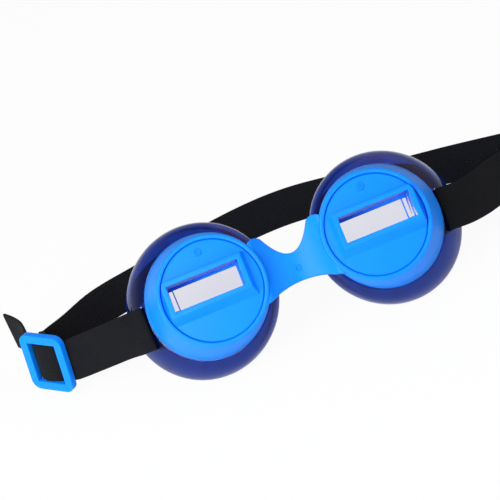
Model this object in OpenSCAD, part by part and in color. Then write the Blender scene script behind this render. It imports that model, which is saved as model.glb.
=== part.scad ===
// Goggles with prism windows that turn the view upside down, with an elastic head strap.
// The goggles lean back on the rims of their eye shields and the strap stands behind them.
// Millimetres. +X is to the right and +Z is up, seen from the front; the front faces -Y.
// The origin is on the table, in the middle of the room that the whole object takes.

/* [Fit on the face] */
// Distance between the centres of the two lens caps
cap_spacing = 61; // [60:0.5:66]
// Angle by which each shield's rim falls back toward the temple, in degrees
toe_in = 12; // [9:0.5:13]
// Depth from the front of the cups to the middle of the shields' rims
goggle_depth = 25; // [24.5:0.5:28]
// Angle at which the goggles lean back on the table
lean = 35; // [32:1:38]

/* [Cup housing] */
// Outer radius of the front ring
ring_r = 19.7; // [19.5:0.1:20.5]
// Radius of the recess that takes the lens cap
seat_r = 18.1; // [17.9:0.1:18.2]
// Radius of the bore behind the lens cap
ledge_r = 17.4; // [17.3:0.1:17.5]
// Depth from the front of the ring to the ledge that carries the lens cap
seat_depth = 2.6; // [2.4:0.1:3]
// Outer radius of the cup's base
base_r = 22.5; // [22.3:0.1:23]
// Height of the cup's base above the middle of the rims
base_f = 10.8; // [10.4:0.1:11.2]
// Offset of the cup's base toward the temple
base_out = 3; // [2.6:0.1:3.4]
// Thickness of the cup's wall
cup_wall = 1.4; // [1.2:0.1:1.6]
// Depth of the bore that takes the shield's neck
neck_depth = 4; // [3:0.5:4.5]

/* [Nose bridge] */
// Thickness of the bridge
bridge_t = 3; // [2.4:0.1:3.6]
// Height of the bridge's front face above the rims, at its middle
bridge_front = 18.5; // [17.5:0.5:19.5]
// Height of the middle of the nose notch above the cap centres
notch_u = 2.5; // [2:0.1:3.5]
// Depth of the bridge's lower edge below the cap centres, at the middle
lower_u = 7.9; // [7.4:0.1:8.4]
// Height of the bridge's upper corners above the cap centres
corner_u = 11.6; // [11.2:0.1:12]

/* [Lens cap] */
// Thickness of the cap's disc
cap_t = 1.8; // [1.5:0.1:2]
// Width of the bevel around the disc
cap_bevel = 0.4; // [0.2:0.1:0.5]
// Height of the window turret above the disc
turret_h = 3; // [2:0.2:3.4]
// Width of the frame around the window
bezel = 1.5; // [1.2:0.1:1.7]
// Spread of the turret's side flanks at the disc
flank = 1.4; // [1:0.1:1.8]
// Spread of the turret's lower flank at the disc
low_flank = 3; // [2:0.1:3.4]
// Offset of the window toward the temple
window_out = 1.4; // [1:0.1:1.5]
// Offset of the window above the cap's centre
window_up = 2.05; // [1.8:0.05:2.2]
// Thickness of the lip that stops the prism
lip = 0.6; // [0.4:0.1:0.8]
// Height of the lip around the window
lip_in = 0.2; // [0.1:0.05:0.3]
// Thickness of the prism well's walls
well_wall = 0.8; // [0.7:0.1:1]
// Height of the moulding mark above the cap's centre
mark_up = 14.3; // [13.5:0.1:14.8]

/* [Prism] */
// Width of the prism
prism_w = 26.4; // [25.5:0.1:26.6]
// Height of the prism, between its base and its short side
prism_h = 9.6; // [9:0.1:9.8]
// Width of the prism's short side
prism_top = 0.6; // [0.4:0.1:1.2]

/* [Prism retainer] */
// Thickness of the retaining frame
keeper_t = 1.2; // [0.8:0.1:1.4]
// Width of the ledge that holds the prism
keeper_ledge = 1.2; // [0.8:0.1:1.6]

/* [Eye shield] */
// Radius of the shield at its rim
rim_r = 28.2; // [27.6:0.1:28.8]
// Offset of the rim's centre toward the temple
rim_out = 5.3; // [4.9:0.1:5.7]
// Thickness of the shield's wall
shield_t = 1.3; // [1.1:0.1:1.6]
// Clearance between the strap and its slot
slot_play = 0.4; // [0.3:0.1:0.6]
// Extra length of the slot beyond the strap, in all
slot_extra = 1.6; // [1:0.1:2.4]

/* [Strap] */
// Width of the elastic strap
strap_w = 16; // [15:0.5:16]
// Thickness of the elastic strap
strap_t = 1.1; // [0.9:0.1:1.2]
// Length of the hem that keeps the strap's end behind its slot
hem = 3; // [2.5:0.5:3.5]
// Lean of the front run from the vertical, in degrees
strap_lean = 9; // [6:1:12]

/* [Slide buckle] */
// Length of the buckle, across the strap
buckle_l = 23.4; // [23:0.2:24]
// Width of the buckle, along the strap
buckle_w = 19; // [18.6:0.2:19.6]
// Thickness of the buckle's frame
buckle_t = 2.4; // [2.2:0.1:2.6]
// Width of the buckle's side bars
bar_w = 3.2; // [3:0.1:3.4]
// Corner radius of the buckle
buckle_r = 3.6; // [3:0.1:4]
// Diameter of the centre bar
pin_d = 2; // [1.8:0.1:2.2]
// Distance of the centre bar behind the middle of the frame
pin_back = 2.6; // [2.6:0.1:2.8]

/* [Fits] */
// Clearance between pieces that move against each other
running = 0.3; // [0.3:0.05:0.4]
// Clearance around pieces that are pressed or glued in
seated = 0.12; // [0.1:0.01:0.14]

/* [Hidden] */
eps = 0.01;
fine = 96;
plastic = "#1E9BFF";
shield_blue = "#1C2A8C";
webbing = "#1A1B1E";

// The rim circle is tilted by the toe-in, and its lowest point stands on the table
goggle_z = rim_r * sqrt(pow(cos(lean), 2) + pow(sin(toe_in) * sin(lean), 2));
goggle_y = -20.5;
half_span = cap_spacing / 2;

// The front of the disc lies this far below the ring's front
disc_f = goggle_depth - seat_depth + cap_t;
turret_f = disc_f + turret_h;
cap_r = seat_r - seated;

well_w = prism_w + 2 * seated;
well_h = prism_h + 2 * seated;
prism_base = 2 * prism_h + prism_top;
prism_f = turret_f - lip;
well_end = prism_f - prism_base;

shield_neck_r = base_r - cup_wall - seated;
shield_neck_in = shield_neck_r - shield_t;

// The shield is a bell of circles parallel to its rim, whose profile is a quarter ellipse and
// whose centres run straight from the rim to the cup's base
bell_r = 6.8;
bell_h = base_f * cos(toe_in) - (rim_out - base_out) * sin(toe_in);
bell_shift = base_f * sin(toe_in) + (rim_out - base_out) * cos(toe_in);
function bell_circle(angle, inset = 0) = let (height = (bell_h - inset) * cos(angle))
    [rim_r - bell_r + (bell_r - inset) * sin(angle), height, -bell_shift * height / bell_h];

slot_u = -2.4;
// The slot cuts the bell where its profile has this angle
slot_angle = 21;
dive = 20;
slot_ring = bell_circle(slot_angle);
slot_at = [half_span + rim_out + (slot_ring[0] + slot_ring[2]) * cos(toe_in)
    + slot_ring[1] * sin(toe_in), slot_u,
    slot_ring[1] * cos(toe_in) - (slot_ring[0] + slot_ring[2]) * sin(toe_in)];

// Goggle axes to the frame: x stays, u leans back from +Z and f points forward
function lean_point(p) = [p[0], p[1] * sin(lean) - p[2] * cos(lean) + goggle_y,
    p[1] * cos(lean) + p[2] * sin(lean) + goggle_z];
function turn(v) = lean_point(v) - lean_point([0, 0, 0]);
function mirror_x(p) = [-p[0], p[1], p[2]];
function unit(v) = v / norm(v);
function square_to(w, t) = unit(w - (w * t) * t);

// The buckle's own axes: along the strap, across it, and out of its front face
buckle_at = [-96.5, 14 + goggle_y, 16];
buckle_plan = -41;
buckle_drop = -4;
buckle_lean = 5;
plan_b = [cos(buckle_plan), sin(buckle_plan), 0];
plan_n = [sin(buckle_plan), -cos(buckle_plan), 0];
lean_l = [0, 0, cos(buckle_lean)] - sin(buckle_lean) * plan_n;
axis_b = cos(buckle_drop) * plan_b + sin(buckle_drop) * lean_l;
axis_l = cos(buckle_drop) * lean_l - sin(buckle_drop) * plan_b;
axis_n = cross(axis_b, axis_l);
function on_buckle(b, n) = buckle_at + b * axis_b + n * axis_n;

// Heights of the webbing's middle above the middle of the buckle's frame
under_bar = -(buckle_t / 2 + running + strap_t / 2);
loop_r = pin_d / 2 + seated + strap_t;
over_pin = -pin_back + loop_r + seated + strap_t / 2;
inner_half = buckle_w / 2 - bar_w;

// The straight front run, from behind the buckle's right bar to the slot
run_from = on_buckle(buckle_w / 2 - 1, under_bar - 0.1);
run_to = lean_point(mirror_x(slot_at + [0.4, 0, strap_t / 2 + 0.5]));
run_dir = unit(run_to - run_from);
run_len = norm(run_to - run_from);
run_w = square_to([0, sin(strap_lean), cos(strap_lean)], run_dir);
run_n = cross(run_dir, run_w);
slot_w = turn([0, 1, 0]);
// The fixed run lies in front of the part that rides with the buckle
lap = strap_t + running;
lap_from = 13;
rider_len = 23;
twist_len = 8;

// Points between p1 and p2 on a smooth curve through four points
function curve(p0, p1, p2, p3, t) = 0.5 * (2 * p1 + (p2 - p0) * t
    + (2 * p0 - 5 * p1 + 4 * p2 - p3) * t * t + (3 * p1 - p0 - 3 * p2 + p3) * t * t * t);
function smooth_path(p, n) = let (last = len(p) - 1) [
    for (i = [0 : last - 1]) for (j = [0 : n - 1])
        curve(p[max(i - 1, 0)], p[i], p[i + 1], p[min(i + 2, last)], j / n),
    p[last]];

// A flat band along the points p, whose width lies along the directions w
module band(p, w, width, thick) {
    last = len(p) - 1;
    rings = [for (i = [0 : last])
        let (along = unit(p[min(i + 1, last)] - p[max(i - 1, 0)]),
            across = square_to(w[i], along),
            out = cross(along, across))
        for (c = [[1, 1], [-1, 1], [-1, -1], [1, -1]])
            p[i] + c[0] * across * width / 2 + c[1] * out * thick / 2];
    sides = [for (i = [0 : last - 1]) for (k = [0 : 3])
        let (a = 4 * i + k, b = 4 * i + (k + 1) % 4)
        each [[a, b + 4, b], [a, a + 4, b + 4]]];
    ends = [[0, 1, 2], [0, 2, 3], [4 * last, 4 * last + 2, 4 * last + 1],
        [4 * last, 4 * last + 3, 4 * last + 2]];
    polyhedron(points = rings, faces = concat(sides, ends), convexity = 8);
}

// Children in goggle axes are put in their place on the table
module on_table() translate([0, goggle_y, goggle_z]) rotate([90 - lean, 0, 0]) children();

// Children made for the right eye are placed for side 1, the right, or -1, the left
module for_side(side) if (side < 0) mirror([1, 0, 0]) children(); else children();

// Children drawn around +Z, with z = 0 at the lens cap's front plane, stand on the cap's axis
module at_cap() translate([half_span, 0, 0]) children();

// Children drawn around +Z stand on the cup's base, or on the plane of the rim
module at_base() translate([half_span + base_out, 0, base_f]) rotate([0, toe_in, 0]) children();
module at_rim() translate([half_span + rim_out, 0, 0]) rotate([0, toe_in, 0]) children();

// Children in buckle axes: x along the strap, y across it and z out of the front
module at_buckle() multmatrix([
    [axis_b[0], axis_l[0], axis_n[0], buckle_at[0]],
    [axis_b[1], axis_l[1], axis_n[1], buckle_at[1]],
    [axis_b[2], axis_l[2], axis_n[2], buckle_at[2]],
    [0, 0, 0, 1]]) children();

// The tapered body between the round front ring and the tilted base
module cup_form(front_r, front_f, back_r) hull() {
    at_cap() translate([0, 0, front_f - 0.4]) cylinder(r = front_r, h = 0.4, $fn = 40);
    at_base() cylinder(r = back_r, h = 0.6, $fn = 40);
}

module cup_housing() {
    ring_edge = 0.5;
    ring_step = 0.08;
    ledge_t = 1.4;
    difference() {
        union() {
            cup_form(ring_r - ring_step, goggle_depth - 0.8, base_r);
            at_cap() rotate_extrude($fn = fine) polygon([
                [ledge_r, goggle_depth - 3], [ring_r, goggle_depth - 3],
                [ring_r, goggle_depth - ring_edge],
                [ring_r - ring_edge, goggle_depth], [ledge_r, goggle_depth]]);
        }
        cup_form(ring_r - cup_wall, goggle_depth - seat_depth - ledge_t,
            base_r - cup_wall - ring_step);
        at_cap() cylinder(r = ledge_r, h = goggle_depth + 1, $fn = fine);
        at_cap() translate([0, 0, goggle_depth - seat_depth])
            cylinder(r = seat_r, h = seat_depth + 1, $fn = fine);
        at_base() translate([0, 0, -1])
            cylinder(r = base_r - cup_wall, h = neck_depth + 1, $fn = fine);
    }
}

// Front outline of the bridge: a deep notch for the nose above, a shallow arc below
module bridge_outline() {
    notch_reach = 8.6;
    notch_rise = (corner_u - 0.8 - notch_u) / pow(notch_reach, 2);
    lower_reach = 9.6;
    inside = half_span - ring_r * 0.78;
    upper = [for (x = [-notch_reach : notch_reach / 8 : notch_reach + eps])
        [x, notch_u + notch_rise * x * x]];
    lower = [for (x = [lower_reach : -lower_reach / 4 : -lower_reach - eps])
        [x, -lower_u - 0.02 * x * x]];
    polygon(concat([[-inside, corner_u - 1], [-11, corner_u], [-9.9, corner_u]], upper,
        [[9.9, corner_u], [11, corner_u], [inside, corner_u - 1], [inside, -lower_u - 4],
            [12, -lower_u - 3.2]],
        lower, [[-12, -lower_u - 3.2], [-inside, -lower_u - 4]]));
}

// The bridge dips in a saddle between the cups
module bridge() {
    reach = 16;
    dip = 0.037;
    front = [for (x = [-reach : reach / 10 : reach + eps]) [x, bridge_front + dip * x * x]];
    back = [for (x = [reach : -reach / 10 : -reach - eps])
        [x, bridge_front - bridge_t + dip * x * x]];
    mark_r = 0.7;
    difference() {
        intersection() {
            linear_extrude(height = goggle_depth) bridge_outline();
            rotate([90, 0, 0]) translate([0, 0, -rim_r]) linear_extrude(height = 2 * rim_r)
                polygon(concat(front, back));
        }
        cup_cutter();
        mirror([1, 0, 0]) cup_cutter();
    }
    translate([0, -lower_u + 4.5, bridge_front - 0.5]) cylinder(r = mark_r, h = 0.8, $fn = 24);
}

// Keeps the bridge out of the cups' hollows, along the middle of the wall
module cup_cutter() cup_form(ring_r - cup_wall * 0.5, goggle_depth + 2, base_r - cup_wall * 0.5);

module front_frame() color(plastic) on_table() {
    cup_housing();
    mirror([1, 0, 0]) cup_housing();
    bridge();
}

module window_box(w, h, from_f, to_f) translate([half_span + window_out - w / 2,
    window_up - h / 2, from_f]) cube([w, h, to_f - from_f]);

module turret() {
    top_w = well_w + 2 * bezel;
    top_h = well_h + 2 * bezel;
    intersection() {
        hull() {
            window_box(top_w, top_h, turret_f - 0.1, turret_f);
            translate([half_span + window_out - top_w / 2 - flank,
                window_up - top_h / 2 - low_flank, disc_f - 0.2])
                cube([top_w + 2 * flank, top_h + low_flank + 0.3, 0.1]);
        }
        at_cap() cylinder(r = cap_r - cap_bevel, h = turret_f + 1, $fn = fine);
    }
}

module lens_cap(side) color(plastic) on_table() for_side(side) {
    difference() {
        union() {
            at_cap() rotate_extrude($fn = fine) polygon([
                [0, disc_f - cap_t], [cap_r, disc_f - cap_t], [cap_r, disc_f - cap_bevel],
                [cap_r - cap_bevel, disc_f], [0, disc_f]]);
            turret();
            intersection() {
                window_box(well_w + 2 * well_wall, well_h + 2 * well_wall, well_end, disc_f - 1);
                at_cap() cylinder(r = ledge_r - seated, h = goggle_depth, $fn = fine);
            }
        }
        window_box(well_w, well_h, 0, prism_f);
        window_box(well_w - 2 * lip_in, well_h - 2 * lip_in, prism_f - eps, turret_f + 1);
    }
    at_cap() translate([0, mark_up, disc_f - eps]) difference() {
        cylinder(r = 1.1, h = 0.25, $fn = 32);
        cylinder(r = 0.75, h = 1, $fn = 32);
    }
    at_cap() translate([0, mark_up, disc_f - eps]) cylinder(r = 0.35, h = 0.35, $fn = 24);
}

// A truncated right-angle prism: its base faces down and its front face recedes upward
module prism(side) color("#E4DFE6") on_table() for_side(side)
    translate([half_span + window_out - prism_w / 2, window_up - prism_h / 2, prism_f])
        rotate([90, 0, 90]) linear_extrude(height = prism_w) polygon([
            [0, 0], [prism_h, -prism_h], [prism_h, -prism_h - prism_top], [0, -prism_base]]);

// A frame that closes the well behind the prism
module prism_retainer(side) color(plastic) on_table() for_side(side) {
    cap_w = well_w + 2 * well_wall;
    cap_h = well_h + 2 * well_wall;
    difference() {
        window_box(cap_w, cap_h, well_end - keeper_t, well_end);
        window_box(well_w - 2 * keeper_ledge, well_h - 2 * keeper_ledge, 0, goggle_depth);
    }
}

// Cuts and fills along the slot: x across the slot, y along it, z out of the shield
module at_slot() translate(slot_at) rotate([0, dive, 0]) children();

// Discs of the bell, from the plane of the rim to the cup's base
module bell_discs(inset, foot) {
    angles = [9, 27, 44, 58, 70, 80];
    for (angle = angles) {
        ring = bell_circle(angle, inset);
        translate([ring[2], 0, ring[1] - 0.05]) cylinder(r = ring[0], h = 0.05, $fn = 40);
    }
    translate([0, 0, -foot]) cylinder(r = rim_r - inset, h = foot + 0.4, $fn = 40);
}

module eye_shield(side) color(shield_blue) on_table() for_side(side) {
    rim_edge = 0.3;
    difference() {
        union() {
            at_rim() hull() {
                bell_discs(0, -rim_edge);
                cylinder(r = rim_r - rim_edge, h = 0.1, $fn = 40);
            }
            at_base() translate([0, 0, -shield_t])
                cylinder(r = shield_neck_r, h = neck_depth + shield_t - 0.4, $fn = fine);
        }
        at_rim() hull() bell_discs(shield_t, 0.5);
        at_base() translate([0, 0, -shield_t - 1])
            cylinder(r = shield_neck_in, h = neck_depth + shield_t + 2, $fn = fine);
        at_slot() translate([-strap_t / 2 - slot_play, -(strap_w + slot_extra) / 2, -5])
            cube([strap_t + 2 * slot_play, strap_w + slot_extra, 9]);
    }
}

// The end of a strap, through its slot and folded into a hem behind the wall
module strap_end(side) on_table() for_side(side) at_slot() {
    depth = 2 * shield_t + 1.4 + hem;
    translate([-strap_t / 2, -strap_w / 2, -depth]) cube([strap_t, strap_w, depth + 0.9]);
    translate([-strap_t * 1.5, -strap_w / 2, -depth]) cube([strap_t + eps, strap_w, hem]);
}

// The front run of the left strap, fixed at its slot
module strap_front_left() color(webbing) {
    front = run_from + lap * run_n;
    straight = run_len - twist_len;
    path = [front + lap_from * run_dir, front + straight * run_dir,
        lerp(front + straight * run_dir, run_to, 0.4), lerp(front + straight * run_dir, run_to, 0.8),
        run_to];
    band(path, [run_w, run_w, unit(run_w + slot_w), slot_w, slot_w], strap_w, strap_t);
    strap_end(-1);
}

function lerp(a, b, t) = a + (b - a) * t;

// The strap threaded through the buckle, from the front run to the free tail
module strap_adjuster_end() color(webbing) {
    rider = [for (d = [rider_len, 5]) run_from + d * run_dir];
    threaded = [for (p = [[8.6, under_bar - 0.1], [6.9, under_bar], [5.2, -1.35], [3.2, -0.35],
        [1.4, over_pin - 0.12], [0, over_pin], [-1.4, over_pin - 0.12], [-3.2, -0.35],
        [-5.2, -1.4], [-6.8, -2.5]]) on_buckle(p[0], p[1])];
    tail = [for (p = [[-101.4, 23], [-101.2, 28], [-101.6, 32.7], [-102.8, 37.6], [-105.4, 43],
        [-107.8, 46.8]]) [p[0], p[1] + goggle_y, 16.2]];
    path = concat(rider, threaded, tail);
    across = concat([run_w, run_w], [for (p = threaded) axis_l], [for (p = tail) [0, 0, 1]]);
    band(path, across, strap_w, strap_t);
}

// The end of the back run, sewn round the buckle's centre bar
module strap_sewn_loop() color(webbing) at_buckle() rotate([90, 0, 0])
    translate([0, 0, -strap_w / 2]) linear_extrude(height = strap_w) {
        leave = 220;
        legs = 8.2;
        hole = pin_d / 2 + seated;
        translate([0, -pin_back]) difference() {
            union() {
                circle(r = loop_r, $fn = 48);
                rotate(leave) translate([0, -strap_t]) square([legs, 2 * strap_t]);
            }
            circle(r = hole, $fn = 48);
        }
    }

// The back run, from the sewn loop round the head to the right slot
module strap_back() color(webbing) {
    route = [for (p = [[-95.6, 27.2, 15], [-93.3, 30.8, 14], [-86.3, 36.4, 12.6],
        [-77, 45.5, 11], [-68, 52, 9.6], [-55.5, 57.6, 8.6], [-38, 64.4, 8], [-20, 69.8, 8],
        [-3, 72.4, 8], [11, 71.9, 8], [25, 68.4, 8], [42, 62.5, 8], [60.5, 56.3, 8.6],
        [74, 50, 9.8], [86, 43.2, 11.2], [97, 36.9, 12.4], [104.6, 30.8, 13.6],
        [106.6, 24.8, 14.8], [101, 19.8, 16.4]]) p + [0, goggle_y, 0]];
    slot_end = lean_point(slot_at + [0.4, 0, strap_t / 2 + 0.5]);
    closing = [for (p = [[34.1, 21.7, -7], [24.6, 15.2, -5.3], [15.4, 7.7, -3.6], [7.4, 3.3, -2.2],
        [0, 0, 0]]) slot_end + p];
    path = smooth_path(concat(route, closing), 3);
    last = len(path) - 1;
    turned = 10;
    turning = 9;
    across = [for (i = [0 : last])
        lerp([0, 0, 1], slot_w, min(1, max(0, (i - last + turned + turning) / turning)))];
    band(path, across, strap_w, strap_t);
    strap_end(1);
}

module rounded(l, w, r) hull() for (x = [-1, 1]) for (y = [-1, 1])
    translate([x * (w / 2 - r), y * (l / 2 - r)]) circle(r = r, $fn = 32);

// A slide buckle: a flat frame, and a centre bar that is set back behind it
module slide_buckle() color(plastic) at_buckle() {
    window_l = strap_w + 0.8;
    post = 1.2;
    translate([0, 0, -buckle_t / 2]) linear_extrude(height = buckle_t) difference() {
        rounded(buckle_l, buckle_w, buckle_r);
        square([2 * inner_half, window_l], center = true);
    }
    for (side = [-1, 1]) translate([-pin_d / 2 - 0.6, side > 0 ? window_l / 2 : -window_l / 2 - post,
        -pin_back - pin_d / 2]) cube([pin_d + 1.2, post, pin_back + pin_d / 2]);
    translate([0, window_l / 2 + post, -pin_back]) rotate([90, 0, 0])
        cylinder(d = pin_d, h = window_l + 2 * post, $fn = 32);
}

front_frame();
lens_cap(-1);  // lens_cap_left
lens_cap(1);  // lens_cap_right
prism(-1);  // prism_left
prism(1);  // prism_right
prism_retainer(-1);  // prism_retainer_left
prism_retainer(1);  // prism_retainer_right
eye_shield(-1);  // eye_shield_left
eye_shield(1);  // eye_shield_right
strap_front_left();
strap_back();
strap_adjuster_end();
strap_sewn_loop();
slide_buckle();
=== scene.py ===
"""Goggles with prism windows and an elastic head strap, dressed for a studio picture."""
import math

import bmesh
import bpy
from bpy.props import FloatProperty, FloatVectorProperty, PointerProperty
from mathutils import Matrix, Vector


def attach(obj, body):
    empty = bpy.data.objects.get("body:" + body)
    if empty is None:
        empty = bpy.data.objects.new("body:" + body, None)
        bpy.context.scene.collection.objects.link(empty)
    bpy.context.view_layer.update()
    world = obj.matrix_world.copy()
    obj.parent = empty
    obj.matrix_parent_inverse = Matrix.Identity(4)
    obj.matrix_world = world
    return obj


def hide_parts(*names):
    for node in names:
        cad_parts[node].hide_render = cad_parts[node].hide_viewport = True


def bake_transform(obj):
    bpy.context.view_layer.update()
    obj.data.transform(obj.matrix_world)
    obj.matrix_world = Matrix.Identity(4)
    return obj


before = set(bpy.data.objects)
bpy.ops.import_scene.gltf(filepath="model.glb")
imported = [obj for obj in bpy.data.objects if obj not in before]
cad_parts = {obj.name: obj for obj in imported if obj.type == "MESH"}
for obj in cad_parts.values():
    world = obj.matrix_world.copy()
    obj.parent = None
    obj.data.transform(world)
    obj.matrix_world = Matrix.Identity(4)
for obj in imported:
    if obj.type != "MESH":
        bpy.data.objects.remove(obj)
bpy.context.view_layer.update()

bl_info = {
    "name": "Prism Goggles",
    "version": (1, 0, 0),
    "blender": (4, 5, 0),
    "location": "3D View > Sidebar > Goggles",
    "description": "Builds the visible pieces of prism goggles around their CAD frame",
    "category": "Object",
}

MM = 0.001


def hex_to_linear(value):
    """An sRGB hex colour as linear red, green and blue."""
    channels = [int(value[i:i + 2], 16) / 255 for i in (1, 3, 5)]
    return [c / 12.92 if c <= 0.04045 else ((c + 0.055) / 1.055) ** 2.4 for c in channels]


def length_mm(name, description, default, low, high):
    """A size in millimetres for the panel."""
    return FloatProperty(name=name, description=description, default=default, min=low, max=high)


def colour(name, description, default):
    """A colour for the panel, from an sRGB hex value."""
    return FloatVectorProperty(
        name=name, description=description, default=hex_to_linear(default),
        subtype="COLOR", size=3, min=0.0, max=1.0)


class CupSettings(bpy.types.PropertyGroup):
    """Sizes and colours of the eye cups and the bridge."""

    cap_spacing: length_mm("Cap spacing", "Distance between the centres of the lens caps, mm", 61.0, 60, 66)
    front: length_mm("Depth", "Height of the rings' front above the middle of the rims, mm", 25.0, 24, 28)
    lean: FloatProperty(
        name="Lean", description="Angle at which the goggles lean back",
        default=math.radians(35), subtype="ANGLE")
    toe: FloatProperty(
        name="Toe-in", description="Angle by which each rim falls back toward the temple",
        default=math.radians(12), subtype="ANGLE")
    ring_r: length_mm("Ring radius", "Outer radius of the front ring, mm", 19.7, 19.5, 20.5)
    seat_r: length_mm("Seat radius", "Radius of the recess that takes the lens cap, mm", 18.1, 17.9, 18.2)
    base_r: length_mm("Base radius", "Outer radius of the cup's base, mm", 22.5, 22.3, 23)
    housing_wall: length_mm("Housing wall", "Thickness of the cup housings, mm", 1.4, 1.2, 1.6)
    bridge_t: length_mm("Bridge", "Thickness of the nose bridge, mm", 3.0, 2.4, 3.6)
    rim_r: length_mm("Rim radius", "Radius of the shield at its rim, mm", 28.2, 27.6, 28.8)
    shield_wall: length_mm("Shield wall", "Thickness of the eye shield, mm", 1.3, 1.1, 1.6)
    blue: colour("Blue", "Colour of the moulded cups, caps and buckle", "#0886FF")
    navy: colour("Navy", "Colour of the translucent eye shields", "#0B2F80")
    prism_tint: colour("Prism tint", "Tint of the clear prisms", "#F6F5FC")


class StrapSettings(bpy.types.PropertyGroup):
    """Sizes and colours of the elastic strap."""

    width: length_mm("Width", "Width of the webbing, mm", 16.0, 15, 16)
    thickness: length_mm("Thickness", "Thickness of the webbing, mm", 1.1, 0.9, 1.2)
    rib_pitch: length_mm("Rib pitch", "Distance between the webbing's ribs, mm", 0.8, 0.4, 1.2)
    yarn: colour("Yarn", "Colour of the black yarn", "#121316")


class StageSettings(bpy.types.PropertyGroup):
    """The camera's distance and the light."""

    focal_length: FloatProperty(
        name="Lens", description="Focal length of the camera", default=131.6, unit="CAMERA")
    key_power: FloatProperty(
        name="Key light", description="Power of the main lamp", default=10.4, unit="POWER")
    fill_power: FloatProperty(
        name="Fill light", description="Power of the fill lamp", default=1.3, unit="POWER")


# Where the goggles stand along Y, mm
GOGGLE_Y = -20.5
# Shift of the housing's base toward the temple, and its height above the middle of the rims, mm
BASE_OUT, BASE_UP = 3.0, 10.8
# Shift of the shield's rim toward the temple, mm
RIM_OUT = 5.3
# Depth of the ring's seat for the lens cap, and of the bore for the shield's neck, mm
SEAT_DEPTH, NECK_DEPTH = 2.6, 4.0
# Clearance round pieces that are pressed in, mm
SEATED = 0.12
# Height of the gate's ring above a cap's middle, and of the cap's face above the rims, mm
GATE_UP, CAP_FACE = 14.3, 24.2
# Where a run of the strap leaves its slot, from the middle of the slot, mm
RUN_SHIFT = Vector((0.4, 0, 1.05))
# The buckle's centre bar: its radius, and its distance behind the middle of the frame, mm
PIN_R, PIN_BACK = 1.0, 2.6
# Sockets of a Mix node that mixes colours: its two colours and its result
COLOUR_A, COLOUR_B, MIXED = 6, 7, 2


def goggle_axes():
    """Goggle axes in millimetres to the frame: x to the right, y up the face, z out of the front."""
    cup = bpy.context.scene.goggle_cups
    height = cup.rim_r * math.hypot(math.cos(cup.lean), math.sin(cup.toe) * math.sin(cup.lean))
    return (Matrix.Scale(MM, 4) @ Matrix.Translation((0, GOGGLE_Y, height))
            @ Matrix.Rotation(math.pi / 2 - cup.lean, 4, "X"))


def axes_in_mm():
    """Goggle axes to the frame, with millimetres on both sides."""
    return Matrix.Scale(1 / MM, 4) @ goggle_axes()


def add_node(tree, kind, settings=None, links=None):
    """Adds a node, sets its values and sockets, and links its inputs."""
    node = tree.nodes.new(kind)
    for key, value in (settings or {}).items():
        if isinstance(key, str) and hasattr(node, key):
            setattr(node, key, value)
        else:
            node.inputs[key].default_value = value
    for key, source in (links or {}).items():
        tree.links.new(source, node.inputs[key])
    return node


def new_material(name):
    """A material with an empty node tree and its output node."""
    material = bpy.data.materials.new(name)
    material.use_nodes = True
    tree = material.node_tree
    tree.nodes.clear()
    return material, tree, tree.nodes.new("ShaderNodeOutputMaterial")


def scaled(tone, red, green, blue):
    """A linear colour with its channels scaled, as a colour socket takes it."""
    return tuple(min(1, channel * factor) for channel, factor in zip(tone, (red, green, blue))) + (1,)


def let_light_through(tree, shader, tint):
    """Lets the lamps shine through a clear piece, tinted, and returns the shader that does so."""
    rays = add_node(tree, "ShaderNodeLightPath")
    open_way = add_node(tree, "ShaderNodeBsdfTransparent", {"Color": (*tint, 1)})
    return add_node(tree, "ShaderNodeMixShader", None,
                    {0: rays.outputs["Is Shadow Ray"], 1: shader.outputs[0], 2: open_way.outputs[0]})


def moulded_blue():
    """Injection-moulded blue polypropylene: glossy, with a faint waviness of the mould's polish."""
    cup = bpy.context.scene.goggle_cups
    material, tree, out = new_material("moulded_blue_plastic")
    coords = add_node(tree, "ShaderNodeTexCoord")
    # Flow marks of about 9 mm, as moulded sheets show them
    flow = add_node(tree, "ShaderNodeTexNoise", {"Scale": 1 / (9 * MM), "Detail": 2.0},
                    {"Vector": coords.outputs["Object"]})
    # Polish scratches and dust of about 0.6 mm, drawn coarser than they are
    grain = add_node(tree, "ShaderNodeTexNoise", {"Scale": 1 / (0.6 * MM), "Detail": 3.0},
                     {"Vector": coords.outputs["Object"]})
    base = add_node(tree, "ShaderNodeMix", {"data_type": "RGBA", COLOUR_A: (*cup.blue, 1),
                                            COLOUR_B: scaled(cup.blue, 1.1, 1.08, 1.02)},
                    {0: flow.outputs["Fac"]})
    rough = add_node(tree, "ShaderNodeMapRange", {"To Min": 0.36, "To Max": 0.46},
                     {"Value": grain.outputs["Fac"]})
    bump = add_node(tree, "ShaderNodeBump", {"Strength": 0.12, "Distance": 0.05 * MM},
                    {"Height": flow.outputs["Fac"]})
    # The plastic's index of about 1.5 is brought down, because its real skin mirrors less
    shader = add_node(tree, "ShaderNodeBsdfPrincipled",
                      {"IOR": 1.3, "Specular IOR Level": 0.35, "Subsurface Weight": 0.12,
                       "Subsurface Scale": 2 * MM, "Subsurface Radius": (0.2, 0.5, 1.0)},
                      {"Base Color": base.outputs[MIXED], "Roughness": rough.outputs["Result"],
                       "Normal": bump.outputs["Normal"]})
    tree.links.new(shader.outputs["BSDF"], out.inputs["Surface"])
    return material


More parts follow.
